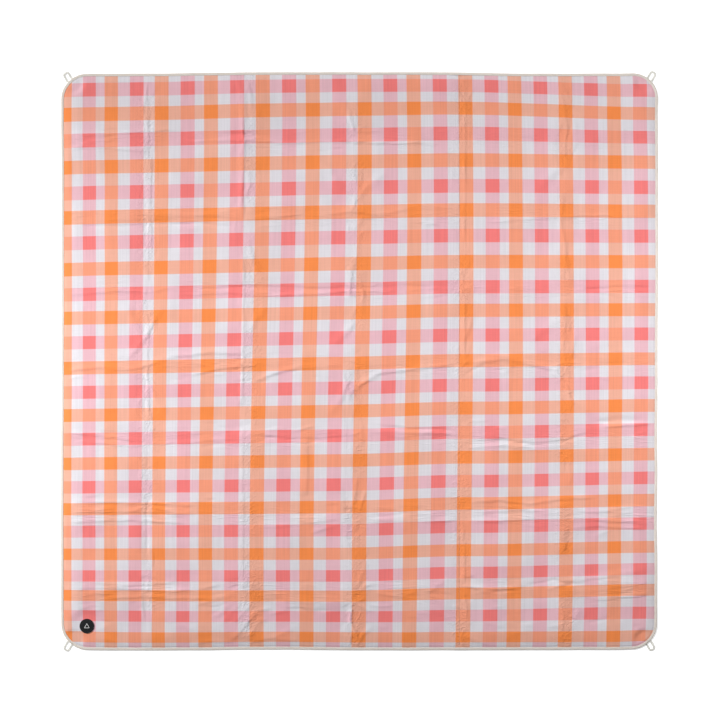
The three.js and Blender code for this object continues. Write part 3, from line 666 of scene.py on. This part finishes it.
def binding(name, side):
    """The tape folded round the edge: a C-shaped section carried along the outline."""
    section = np.array(TAPE_OUTER + TAPE_INNER) * MM
    points, out, along = half_outline(side, 6 * MM)
    # the two lengths overlap at the seam, so their ends are thicker, the left one's more
    ends = np.minimum(along, along[-1] - along)
    fat = 1 + (0.35 if side < 0 else 0.18) * smooth(0.045, 0.025, ends)
    pucker = 0.25 * MM * np.sin(along * math.tau / 0.029 + 2 * ripples(along, along * 0, 52, 1.1, 0.3))
    d = section[:, 0][None, :] + 0 * along[:, None]
    free = (section[:, 0] > 10 * MM) & (section[:, 1] > 3 * MM)
    d = d + np.where(free, pucker[:, None], 0)
    x = points[:, :1] - out[:, :1] * d
    y = points[:, 1:] - out[:, 1:] * d
    lift = swell(x.ravel(), y.ravel()).reshape(x.shape)
    raised = np.where(section[:, 1] > 3 * MM, 0.5 * pucker[:, None] + 0.12 * MM, 0)
    z = section[:, 1][None, :] * fat[:, None] + lift + raised
    bx, by = bow(x.ravel(), y.ravel())
    size = len(section)
    faces = capped_rings(len(along), size, flip=side < 0)
    uvs = np.stack([np.repeat(along, size), np.tile(run_length(section), len(along))], 1)
    return add_mesh(name, np.stack([bx, by, z.ravel()], 1), faces, uvs, sharp=60)


RING = 5                         # points round a stitch
# Rings of a stitch: place along its half length, thickness, and height, in radii.
STITCH_SHAPE = ((-1.0, 0.25, -0.55), (-0.75, 0.85, -0.15), (0.0, 1.0, 0.05), (0.75, 0.85, -0.15),
                (1.0, 0.25, -0.55))
STITCH_DIVE = 1.6


def stitches(name, centres, heading, up_height, length, radius):
    """A row of separate stitches: short bowed rods whose ends dive into the cloth."""
    centres = np.asarray(centres)
    heading = np.asarray(heading)
    side = np.stack([-heading[:, 1], heading[:, 0]], 1)
    points = []
    for along, size, drop in STITCH_SHAPE:
        for k in range(RING):
            angle = math.tau * k / RING
            flat = centres + heading * along * length / 2 + side * radius * size * math.cos(angle)
            z = up_height + radius * (size * math.sin(angle) + STITCH_DIVE * drop)
            points.append(np.column_stack([flat, z]))
    points = np.stack(points, 1)
    one = capped_rings(len(STITCH_SHAPE), RING)
    faces = []
    for n in range(len(centres)):
        first = n * len(STITCH_SHAPE) * RING
        faces += [[first + v for v in face] for face in one]
    return add_mesh(name, points.reshape(-1, 3), faces, sharp=80)


BINDING_PITCH = 5.0 * MM         # from one stitch to the next
SEAM_PITCH = 4.5 * MM
THREAD_RADIUS = 0.34 * MM


def binding_stitches(name, side):
    points, out, along = half_outline(side, 3 * MM)
    marks = np.arange(BINDING_PITCH, along[-1] - BINDING_PITCH, BINDING_PITCH)
    base = np.stack([np.interp(marks, along, points[:, k]) for k in (0, 1)], 1)
    normal = np.stack([np.interp(marks, along, out[:, k]) for k in (0, 1)], 1)
    normal /= np.hypot(normal[:, 0], normal[:, 1])[:, None]
    spot = base - normal * 11.5 * MM
    heading = np.stack([normal[:, 1], -normal[:, 0]], 1)
    height = swell(spot[:, 0], spot[:, 1]) + 4.22 * MM
    return stitches(name, bowed(spot), heading, height, 3.9 * MM, THREAD_RADIUS)


def seam_stitches(name):
    y = np.arange(-HALF_DEPTH + 0.020, HALF_DEPTH - 0.020, SEAM_PITCH)
    x = np.full_like(y, SEAM_X - 3.2 * MM)
    height = top_high(x, y) + 0.10 * MM
    heading = np.tile([0.0, 1.0], (len(y), 1))
    return stitches(name, bowed(np.stack([x, y], 1)), heading, height, 3.6 * MM, THREAD_RADIUS)


def tube(name, path, radius, sides):
    """A round thread along a path that runs roughly level."""
    heading = np.gradient(path, axis=0)
    heading /= np.linalg.norm(heading, axis=1)[:, None]
    side = np.cross([0, 0, 1.0], heading)
    side /= np.linalg.norm(side, axis=1)[:, None]
    up = np.cross(heading, side)
    angles = math.tau * np.arange(sides) / sides
    ring = side[:, None, :] * np.cos(angles)[None, :, None] + up[:, None, :] * np.sin(angles)[None, :, None]
    points = path[:, None, :] + radius * ring
    return add_mesh(name, points.reshape(-1, 3), capped_rings(len(path), sides), sharp=60)


# ---- peg loops

SEAT_ANGLE = math.radians(48)
LEAN_ANGLE = math.radians(60)
CORNERS = {"far_left": (-1, 1), "far_right": (1, 1), "near_left": (-1, -1), "near_right": (1, -1)}


def corner_seat(corner):
    """The point of the outline that a peg loop leaves, the way outward, and the way it leans."""
    sx, sy = CORNERS[corner]
    out = np.array([sx * math.cos(SEAT_ANGLE), sy * math.sin(SEAT_ANGLE)])
    lean = np.array([sx * math.cos(LEAN_ANGLE), sy * math.sin(LEAN_ANGLE)])
    centre = np.array([sx * (HALF_WIDTH - CORNER_RADIUS), sy * (HALF_DEPTH - CORNER_RADIUS)])
    return centre + CORNER_RADIUS * out, out, lean


def loop_centreline():
    """(across, along) of the webbing's middle: up one leg, round the tip and down the other."""
    half, straight, tip, squared = 13 * MM, 30 * MM, 10.5 * MM, 0.82
    path = [(-half, v) for v in spread(-2.5 * MM, straight, 3 * MM)]
    for angle in spread(math.pi, 0, math.radians(9))[1:-1]:
        c, s = math.cos(angle), math.sin(angle)
        path.append((half * math.copysign(abs(c) ** squared, c), straight + tip * abs(s) ** squared))
    path += [(half, v) for v in reversed(spread(-2.5 * MM, straight, 3 * MM))]
    return np.array(path)


# Section of the webbing: across it and up, in mm.
LOOP_SECTION = ((-5.5, 0.2), (-5.5, 1.2), (-5.1, 1.4), (-2.6, 1.46), (0, 1.4), (2.6, 1.46), (5.1, 1.4),
                (5.5, 1.2), (5.5, 0.2), (5.1, 0.0), (0, 0.0), (-5.1, 0.0))


def peg_loop(name, corner):
    seat, out, lean = corner_seat(corner)
    across = np.array([-lean[1], lean[0]])
    line = loop_centreline()
    heading = np.gradient(line, axis=0)
    heading /= np.hypot(heading[:, 0], heading[:, 1])[:, None]
    side = np.stack([heading[:, 1], -heading[:, 0]], 1)
    section = np.array(LOOP_SECTION) * MM
    flat = line[:, None, :] + side[:, None, :] * section[None, :, :1]
    plan = seat + flat[..., :1] * across + flat[..., 1:] * lean
    beyond = np.clip((plan - seat) @ out, -0.004, None)
    rise = 0.9 * MM * smooth(0.010, 0.0, beyond)
    curl = 0.2 * MM * smooth(0.026, 0.042, flat[..., 1]) * (1 + np.sin(90 * flat[..., 0] + len(corner)))
    z = section[None, :, 1] + rise + curl
    shift = bowed([seat])[0] - seat
    points = np.concatenate([plan + shift, z[..., None]], 2)
    size, count = len(section), len(line)
    uvs = np.stack([np.repeat(run_length(line), size), np.tile(section[:, 0], count)], 1)
    faces = capped_rings(count, size, flip=True)
    piece = add_mesh(name, points.reshape(-1, 3), faces, uvs, sharp=60)
    return piece, seat, out


def bartack(name, corner):
    """A dense zigzag of thread across the binding, over the two ends of the loop."""
    seat, out, _ = corner_seat(corner)
    centre = seat - CORNER_RADIUS * out
    heading = math.atan2(out[1], out[0])
    half_turn = 18 * MM / CORNER_RADIUS
    path = []
    count = 44
    for i in range(count + 1):
        angle = heading - half_turn + 2 * half_turn * i / count
        inset = (6.5 + (1.25 if i % 2 else -1.25)) * MM
        for nudge in (-0.22, 0.22):
            turn = angle + nudge * 2 * half_turn / count
            path.append(centre + (CORNER_RADIUS - inset) * np.array([math.cos(turn), math.sin(turn)]))
    path = np.array(path)
    z = swell(path[:, 0], path[:, 1]) + 4.36 * MM
    return tube(name, np.column_stack([bowed(path), z]), 0.30 * MM, 5)


# ---- badge

def turned(name, profile, segments, centre, base):
    """A closed shape turned round a vertical axis, from (radius, height) pairs, ends on the axis."""
    points = [(centre[0], centre[1], base + profile[0][1])]
    for r, z in profile[1:-1]:
        for k in range(segments):
            angle = math.tau * k / segments
            points.append((centre[0] + r * math.cos(angle), centre[1] + r * math.sin(angle), base + z))
    points.append((centre[0], centre[1], base + profile[-1][1]))
    after = [(k + 1) % segments for k in range(segments)]
    faces = [[0, 1 + after[k], 1 + k] for k in range(segments)]
    faces += [[1 + v for v in face] for face in ring_faces(len(profile) - 2, segments)]
    first = 1 + (len(profile) - 3) * segments
    faces += [[first + k, first + after[k], len(points) - 1] for k in range(segments)]
    return add_mesh(name, points, faces, sharp=40)


def badge_base():
    return face_height(*BADGE) - 0.05 * MM


def badge_centre():
    return bowed([BADGE])[0]


def badge_disc(name):
    rows = (
        (0, 0), (35.2, 0), (36.2, 0.25), (36.5, 0.8), (36.5, 1.9), (36.2, 2.35), (35.6, 2.55),   # rim
        (34.6, 2.55), (33.9, 2.35), (33.6, 2.05), (32.8, 1.95),
        (31.2, 1.9), (30.6, 1.7), (29.4, 1.7), (28.8, 1.9),                                      # groove
        (24, 2.1), (12, 2.2), (0, 2.22),
    )
    profile = [(r * MM, z * MM) for r, z in rows]
    return turned(name, profile, 96, badge_centre(), badge_base())


def badge_stitches(name):
    count = 44
    ring = 30 * MM
    angles = math.tau * np.arange(count) / count
    cx, cy = badge_centre()
    centres = np.stack([cx + ring * np.cos(angles), cy + ring * np.sin(angles)], 1)
    heading = np.stack([-np.sin(angles), np.cos(angles)], 1)
    height = np.full(count, badge_base() + 1.95 * MM)
    return stitches(name, centres, heading, height, 3.1 * MM, 0.36 * MM)


def badge_mark(name):
    """A plain tent: a raised triangular frame with softened edges."""
    cx, cy = badge_centre()
    base = badge_base() + 2.05 * MM
    rows = ((17, 0), (17, 0.4), (16.3, 0.62), (12.2, 0.62), (11.5, 0.4), (11.5, 0))
    points = []
    per_side = 24
    for radius, z in rows:
        for k in range(per_side * 3):
            side, step = divmod(k, per_side)
            first = math.pi / 2 + math.tau * side / 3
            share = step / per_side
            a = np.array([math.cos(first), math.sin(first)])
            b = np.array([math.cos(first + math.tau / 3), math.sin(first + math.tau / 3)])
            round_off = 1 - 0.10 * (1 - min(1, 5 * min(share, 1 - share)))
            x, y = (a + (b - a) * share) * radius * MM * round_off
            points.append((cx + x, cy + y - 2 * MM, base + z * MM))
    faces = ring_faces(len(rows) + 1, per_side * 3)
    faces = [[v % len(points) for v in face] for face in faces]      # the last ring is the first again
    return add_mesh(name, points, faces, sharp=40)


# ---- materials

def linear(r, g, b):
    """A colour as it looks in the photograph, 0 to 255, made linear."""
    def one(v):
        v /= 255
        return v / 12.92 if v <= 0.04045 else ((v + 0.055) / 1.055) ** 2.4
    return (one(r), one(g), one(b), 1)


class Graph:
    """A small helper that builds a material's nodes."""

    def __init__(self, name, roughness, sheen=0.0, specular=0.5):
        self.material = bpy.data.materials.new(name)
        self.material.use_nodes = True
        self.tree = self.material.node_tree
        self.shader = self.tree.nodes["Principled BSDF"]
        self.shader.inputs["Roughness"].default_value = roughness
        self.shader.inputs["Sheen Weight"].default_value = sheen
        self.shader.inputs["Sheen Roughness"].default_value = 0.6
        self.shader.inputs["Specular IOR Level"].default_value = specular

    def node(self, kind, **settings):
        made = self.tree.nodes.new("ShaderNode" + kind)
        for key, value in settings.items():
            setattr(made, key, value)
        return made

    def feed(self, socket, value):
        if isinstance(value, bpy.types.NodeSocket):
            self.tree.links.new(value, socket)
        else:
            socket.default_value = value

    def math(self, operation, a, b=0.0, c=0.0, clamp=False):
        made = self.node("Math", operation=operation, use_clamp=clamp)
        for socket, value in zip(made.inputs, (a, b, c)):
            self.feed(socket, value)
        return made.outputs[0]

    def mix(self, share, a, b):
        made = self.node("Mix", data_type="RGBA")
        for socket, value in ((0, share), (6, a), (7, b)):           # the sockets of the colour form
            self.feed(made.inputs[socket], value)
        return made.outputs[2]

    def place(self, scale=(1, 1, 1), uv=None, turn=0):
        if uv:
            source = self.node("UVMap", uv_map=uv).outputs[0]
        else:
            source = self.node("TexCoord").outputs["Object"]
        made = self.node("Mapping")
        self.feed(made.inputs["Vector"], source)
        made.inputs["Scale"].default_value = scale
        if turn:
            made.vector_type = "TEXTURE"
            made.inputs["Scale"].default_value = [1 / v for v in scale]
            made.inputs["Rotation"].default_value = (0, 0, math.radians(turn))
        return made.outputs[0]

    def noise(self, scale, detail, uv=None, turn=0):
        made = self.node("TexNoise")
        self.feed(made.inputs["Vector"], self.place(scale, uv, turn))
        made.inputs["Scale"].default_value = 1.0
        made.inputs["Detail"].default_value = detail
        return made.outputs[0]

    def wave(self, scale, uv=None, distortion=0.0, direction="X"):
        made = self.node("TexWave", wave_type="BANDS", bands_direction=direction, wave_profile="SIN")
        self.feed(made.inputs["Vector"], self.place(scale, uv))
        made.inputs["Scale"].default_value = 1.0
        made.inputs["Distortion"].default_value = distortion
        made.inputs["Detail"].default_value = 1.0
        made.inputs["Detail Scale"].default_value = 0.5
        return made.outputs[1]

    def shade(self, value, low, high):
        """Maps 0 to 1 onto low to high."""
        return self.math("MULTIPLY_ADD", value, high - low, low)

    def tinted(self, colour, factor):
        made = self.node("VectorMath", operation="SCALE")
        self.feed(made.inputs[0], colour)
        self.feed(made.inputs["Scale"], factor)
        return made.outputs[0]

    def finish(self, colour, height, depth, roughness=None, strength=1.0):
        self.feed(self.shader.inputs["Base Color"], colour)
        if roughness is not None:
            self.feed(self.shader.inputs["Roughness"], roughness)
        bump = self.node("Bump")
        self.feed(bump.inputs["Height"], height)
        bump.inputs["Distance"].default_value = depth
        bump.inputs["Strength"].default_value = strength
        self.feed(self.shader.inputs["Normal"], bump.outputs[0])
        return self.material


WAVE_TURN = math.tau / 20        # a wave texture repeats every tau / 20 of its coordinate at scale 1


def pitch(length):
    """Coordinate scale at which a wave texture repeats every length metres."""
    return WAVE_TURN / length


def fine_wrinkles(g):
    """Hair-thin wrinkles, too small for the mesh, that crowd along the cross folds and the long folds."""
    place = g.node("SeparateXYZ")
    g.feed(place.inputs[0], g.node("TexCoord").outputs["Object"])
    total = 0.0
    for axis, first, gap, scale, turn in (
        (1, 1.110, 0.377, (5, 66, 1), 0),
        (0, -1.070, 0.525, (22, 48, 1), 38),
        (0, -1.070, 0.525, (24, 50, 1), -35),
    ):
        away = g.math("WRAP", g.math("SUBTRACT", place.outputs[axis], first), gap / 2, -gap / 2)
        away = g.math("ABSOLUTE", away)
        near = g.math("MULTIPLY_ADD", away, -14.0, 1.25, clamp=True)
        patches = g.math("MULTIPLY_ADD", g.noise((4, 4, 1), 1), 5.0, -1.7, clamp=True)
        field = g.math("ABSOLUTE", g.math("SUBTRACT", g.noise(scale, 1, turn=turn), 0.5))
        line = g.math("MULTIPLY_ADD", field, -20.0, 1.0, clamp=True)
        total = g.math("ADD", total, g.math("MULTIPLY", line, g.math("MULTIPLY", near, patches)))
    return total


def printed_cloth():
    """Gingham: two-colour stripes both ways on white, woven, with slubs."""
    g = Graph("printed_cloth", 0.86, sheen=0.12, specular=0.25)
    white = linear(224, 220, 226)
    half_orange = linear(238, 175, 152)
    half_pink = linear(231, 184, 194)
    orange_pink = linear(244, 154, 121)
    orange = linear(248, 140, 71)
    pink = linear(243, 124, 122)
    split = g.node("SeparateXYZ")
    g.feed(split.inputs[0], g.node("UVMap", uv_map="print").outputs[0])
    thread = g.math("SUBTRACT", g.noise((300, 300, 1), 1, "print"), 0.5)

    def stripe(value, centre, width):
        away = g.math("ABSOLUTE", g.math("WRAP", g.math("SUBTRACT", value, centre), 0.5, -0.5))
        away = g.math("MULTIPLY_ADD", thread, 0.004, away)
        return g.math("MULTIPLY_ADD", g.math("SUBTRACT", width / 2, away), 220.0, 0.5, clamp=True)

    def stripes(value, centres, width):
        return g.math("MAXIMUM", stripe(value, centres[0], width), stripe(value, centres[1], width))

    across = (split.outputs[0], (0.0, 0.4886), (0.2582, 0.7488), 0.1385)
    down = (split.outputs[1], (0.0, 0.5104), (0.2512, 0.7626), 0.1338)
    co, ro = (stripes(value, centres, width) for value, centres, _, width in (across, down))
    cp, rp = (stripes(value, centres, width) for value, _, centres, width in (across, down))
    colour = g.mix(g.math("MAXIMUM", co, ro), white, half_orange)
    colour = g.mix(g.math("MAXIMUM", cp, rp), colour, half_pink)
    crossing = g.math("MAXIMUM", g.math("MULTIPLY", co, rp), g.math("MULTIPLY", cp, ro))
    colour = g.mix(crossing, colour, orange_pink)
    colour = g.mix(g.math("MULTIPLY", co, ro), colour, orange)
    colour = g.mix(g.math("MULTIPLY", cp, rp), colour, pink)
    slub_down = g.noise((75, 1.3, 1), 2, "print")
    slub_across = g.noise((1.3, 75, 1), 2, "print")
    slubs = g.math("MULTIPLY_ADD", slub_across, 0.35, slub_down)
    fading = g.noise((2.2, 2.2, 1), 3, "print")
    factor = g.math("MULTIPLY_ADD", slubs, 0.22, g.shade(fading, 0.79, 0.86))
    colour = g.tinted(colour, factor)
    ribs = pitch(1.1 * MM) * REPEAT_ACROSS
    warp = g.wave((ribs, 1, 1), "print", 0.6)
    sway = g.wave((1, ribs, 1), "print", 0.6)
    height = g.math("ADD", g.math("MULTIPLY", warp, 0.5), g.math("MULTIPLY", sway, 0.5))
    height = g.math("MULTIPLY_ADD", slubs, 0.5, height)
    height = g.math("MULTIPLY_ADD", fine_wrinkles(g), 10.0, height)
    return g.finish(colour, height, 0.12 * MM, strength=0.6)


def tape_cloth():
    g = Graph("binding_tape", 0.8, sheen=0.15, specular=0.3)
    fibres = g.noise((900, 60, 900), 2, "print")
    patches = g.noise((14, 14, 14), 2)
    colour = g.mix(patches, linear(218, 208, 198), linear(233, 225, 216))
    colour = g.tinted(colour, g.shade(fibres, 0.90, 1.10))
    ribs = g.wave((pitch(0.9 * MM), 0, 0), "print", 0.3)
    return g.finish(colour, ribs, 0.12 * MM)


def webbing():
    g = Graph("loop_webbing", 0.75, sheen=0.2, specular=0.3)
    fibres = g.noise((400, 1500, 400), 2, "print")
    colour = g.mix(fibres, linear(226, 224, 216), linear(246, 245, 238))
    ribs = g.wave((pitch(1.6 * MM), 0, 0), "print", 0.2)
    lengthways = g.wave((1, pitch(1.4 * MM), 1), "print", direction="Y")
    height = g.math("MULTIPLY_ADD", lengthways, 0.7, ribs)
    # darker in the grooves between the ribs and lighter on their crests: painted shade and painted highlight
    # that follow the ribs' bump
    colour = g.tinted(colour, g.shade(ribs, 0.93, 1.04))
    return g.finish(colour, height, 0.25 * MM)


def coated_backing():
    """The underside: a plain coated cloth with a fine reinforcing grid."""
    g = Graph("backing_cloth", 0.5, specular=0.4)
    speckle = g.noise((260, 260, 260), 3)
    patches = g.noise((3, 3, 3), 2)
    colour = g.mix(patches, linear(176, 174, 172), linear(190, 188, 186))
    colour = g.tinted(colour, g.shade(speckle, 0.92, 1.08))
    across = g.wave((pitch(6 * MM), 0, 0))
    along = g.wave((1, pitch(6 * MM), 1), direction="Y")
    grid = g.math("MAXIMUM", g.math("POWER", across, 12.0), g.math("POWER", along, 12.0))
    height = g.math("MULTIPLY_ADD", speckle, 0.3, grid)
    return g.finish(colour, height, 0.15 * MM, g.shade(speckle, 0.42, 0.58))


def fibre_wadding():
    g = Graph("wadding", 0.95, sheen=0.3, specular=0.1)
    fibres = g.noise((500, 500, 500), 4)
    clumps = g.noise((40, 40, 40), 3)
    colour = g.mix(clumps, linear(226, 224, 220), linear(240, 239, 236))
    colour = g.tinted(colour, g.shade(fibres, 0.92, 1.06))
    return g.finish(colour, g.math("ADD", fibres, clumps), 0.5 * MM)


def thread(name, dark, light):
    g = Graph(name, 0.6, sheen=0.2, specular=0.4)
    fibres = g.noise((2500, 2500, 2500), 2)
    colour = g.mix(fibres, dark, light)
    twist = g.wave((pitch(0.9 * MM),) * 3, direction="DIAGONAL")
    return g.finish(colour, twist, 0.10 * MM)


def rubber():
    g = Graph("badge_rubber", 0.75, specular=0.25)
    grain = g.noise((1200, 1200, 1200), 3)
    smudge = g.noise((60, 60, 60), 3)
    colour = g.mix(smudge, (0.006, 0.006, 0.007, 1), (0.014, 0.014, 0.015, 1))
    return g.finish(colour, grain, 0.05 * MM, g.shade(smudge, 0.66, 0.84))


def moulded_mark():
    g = Graph("badge_mark", 0.5, specular=0.45)
    grain = g.noise((1500, 1500, 1500), 2)
    smudge = g.noise((90, 90, 90), 2)
    colour = g.mix(smudge, linear(196, 196, 194), linear(226, 226, 224))
    return g.finish(colour, grain, 0.04 * MM, g.shade(smudge, 0.4, 0.6))


def pale_floor():
    """Pale enough to photograph as plain white, as the studio sweep does."""
    g = Graph("floor", 0.9, specular=0.1)
    g.shader.inputs["Base Color"].default_value = (0.95, 0.95, 0.95, 1)
    g.shader.inputs["Emission Color"].default_value = (1, 1, 1, 1)
    g.shader.inputs["Emission Strength"].default_value = 0.45
    return g.material


# ---- the pieces

def clad(piece, material, slot, *nodes):
    """Gives a piece its material and hides the CAD nodes it stands for."""
    piece.data.materials.append(material)
    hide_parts(*nodes)
    return piece


def bend_left(piece):
    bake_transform(piece)


def bend_right(piece):
    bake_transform(piece)


WIDE = SEAM_X + HALF_WIDTH
NARROW = HALF_WIDTH - SEAM_X


def make_layers():
    rows = depth_lines()
    cloth, back, fill = printed_cloth(), coated_backing(), fibre_wadding()
    for width, lines, bend, part, bodies in (
        (WIDE, wide_lines(), bend_left, "wide", ("left", "middle")),
        (NARROW, narrow_lines(), bend_right, "narrow", ("middle", "right")),
    ):
        top = slab("printed_top_" + part, lines, rows, top_low, top_high, fine=True)
        clad(top, cloth, "printed_cloth", *(f"printed_top_{part}_{b}" for b in bodies))
        padding = slab("wadding_" + part, lines, rows, wadding_low, wadding_high)
        under = slab("backing_" + part, lines, rows, backing_low, backing_high)
        # the middle nodes of the inner layers go with the wide length
        inner = bodies if part == "wide" else bodies[1:]
        clad(padding, fill, "wadding", *("wadding_" + b for b in inner))
        clad(under, back, "backing_cloth", *("backing_" + b for b in inner))
        for piece in (top, padding, under):
            bend(piece)


def make_binding():
    cloth = tape_cloth()
    white = thread("thread", linear(206, 200, 190), linear(236, 232, 224))
    for side, bend, name, bodies in (
        (-1, bend_left, "left", ("left", "middle_far", "middle_near")),
        (1, bend_right, "right", ("right",)),
    ):
        tape = binding("binding_tape_" + name, side)
        clad(tape, cloth, "binding_tape", *("binding_" + b for b in bodies))
        bend(tape)
        length = float(half_outline(side, 6 * MM)[2][-1])
        row = binding_stitches("binding_thread_" + name, side)
        clad(row, white, "thread", *("binding_stitching_" + b for b in bodies))
        bend(row)
    seam = seam_stitches("seam_thread")
    clad(seam, white, "thread", "seam_stitching")
    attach(seam, "middle")
    return white


def make_loops(white):
    tape = webbing()
    for corner in CORNERS:
        piece, seat, out = peg_loop("peg_webbing_" + corner, corner)
        clad(piece, tape, "loop_webbing", "peg_loop_" + corner)
        third = corner.split("_")[1] + "_third"
        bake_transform(piece)
        tack = bartack("bartack_thread_" + corner, corner)
        clad(tack, white, "thread", "loop_bartack_" + corner)
        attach(tack, third)


def make_badge():
    black = thread("badge_thread", (0.010, 0.010, 0.011, 1), (0.035, 0.035, 0.036, 1))
    for name, build, material, slot in (
        ("badge_disc", badge_disc, rubber(), "badge_rubber"),
        ("badge_stitching", badge_stitches, black, "badge_thread"),
        ("badge_mark", badge_mark, moulded_mark(), "badge_mark"),
    ):
        piece = build(name + "_piece")
        clad(piece, material, slot, name)
        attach(piece, "left_third")


# ---- studio

def area_light(name, place, target, size, power):
    light = bpy.data.lights.new(name, "AREA")
    light.shape = "RECTANGLE"
    light.size, light.size_y = size
    light.energy = power
    lamp = bpy.data.objects.new(name, light)
    lamp.location = place
    lamp.rotation_euler = (Vector(target) - Vector(place)).to_track_quat("-Z", "Y").to_euler()
    lamp.visible_camera = False
    bpy.context.scene.collection.objects.link(lamp)


WORLD_LIGHT = 0.065
KEY_POWER = 3.4
KEY_SPREAD = 9                   # degrees
FLOOR_SIZE = 60


def make_lights(scene):
    world = bpy.data.worlds.new("studio")
    world.use_nodes = True
    background = world.node_tree.nodes["Background"]
    background.inputs[0].default_value = (1.0, 1.0, 1.0, 1)
    background.inputs[1].default_value = WORLD_LIGHT
    scene.world = world
    key = bpy.data.lights.new("key", "SUN")
    key.energy = KEY_POWER
    key.angle = math.radians(KEY_SPREAD)
    lamp = bpy.data.objects.new("key", key)
    rise = math.tan(math.radians(KEY_HEIGHT))
    lamp.rotation_euler = Vector((*KEY_WAY, rise)).to_track_quat("Z", "Y").to_euler()
    scene.collection.objects.link(lamp)
    area_light("side_left", (-2.9, -0.1, 1.3), (-1.2, -0.1, 0), (0.8, 1.4), 31)
    area_light("side_right", (2.9, 0.2, 1.3), (1.2, 0.2, 0), (0.8, 1.4), 25)
    area_light("overhead", (0, 0.2, 2.0), (0, 0.2, 0), (3.4, 1.6), 19)


def make_floor():
    bpy.ops.mesh.primitive_plane_add(size=FLOOR_SIZE, location=(0, 0, -0.2 * MM))
    floor = bpy.context.active_object
    floor.name = "floor"
    floor.data.materials.append(pale_floor())


def make_camera(scene):
    """Straight above, far enough away for the photo's width at the mat."""
    camera = bpy.data.cameras.new("camera")
    camera.lens = LENS
    camera.sensor_width = SENSOR
    camera.clip_end = 100
    eye = bpy.data.objects.new("camera", camera)
    eye.location = (CAMERA_X, CAMERA_Y, PHOTO_WIDTH * LENS / SENSOR)
    scene.collection.objects.link(eye)
    scene.camera = eye


def make_studio():
    scene = bpy.context.scene
    scene.view_settings.view_transform = "Standard"
    make_lights(scene)
    make_floor()
    make_camera(scene)


make_studio()
make_layers()
white_thread = make_binding()
make_loops(white_thread)
make_badge()
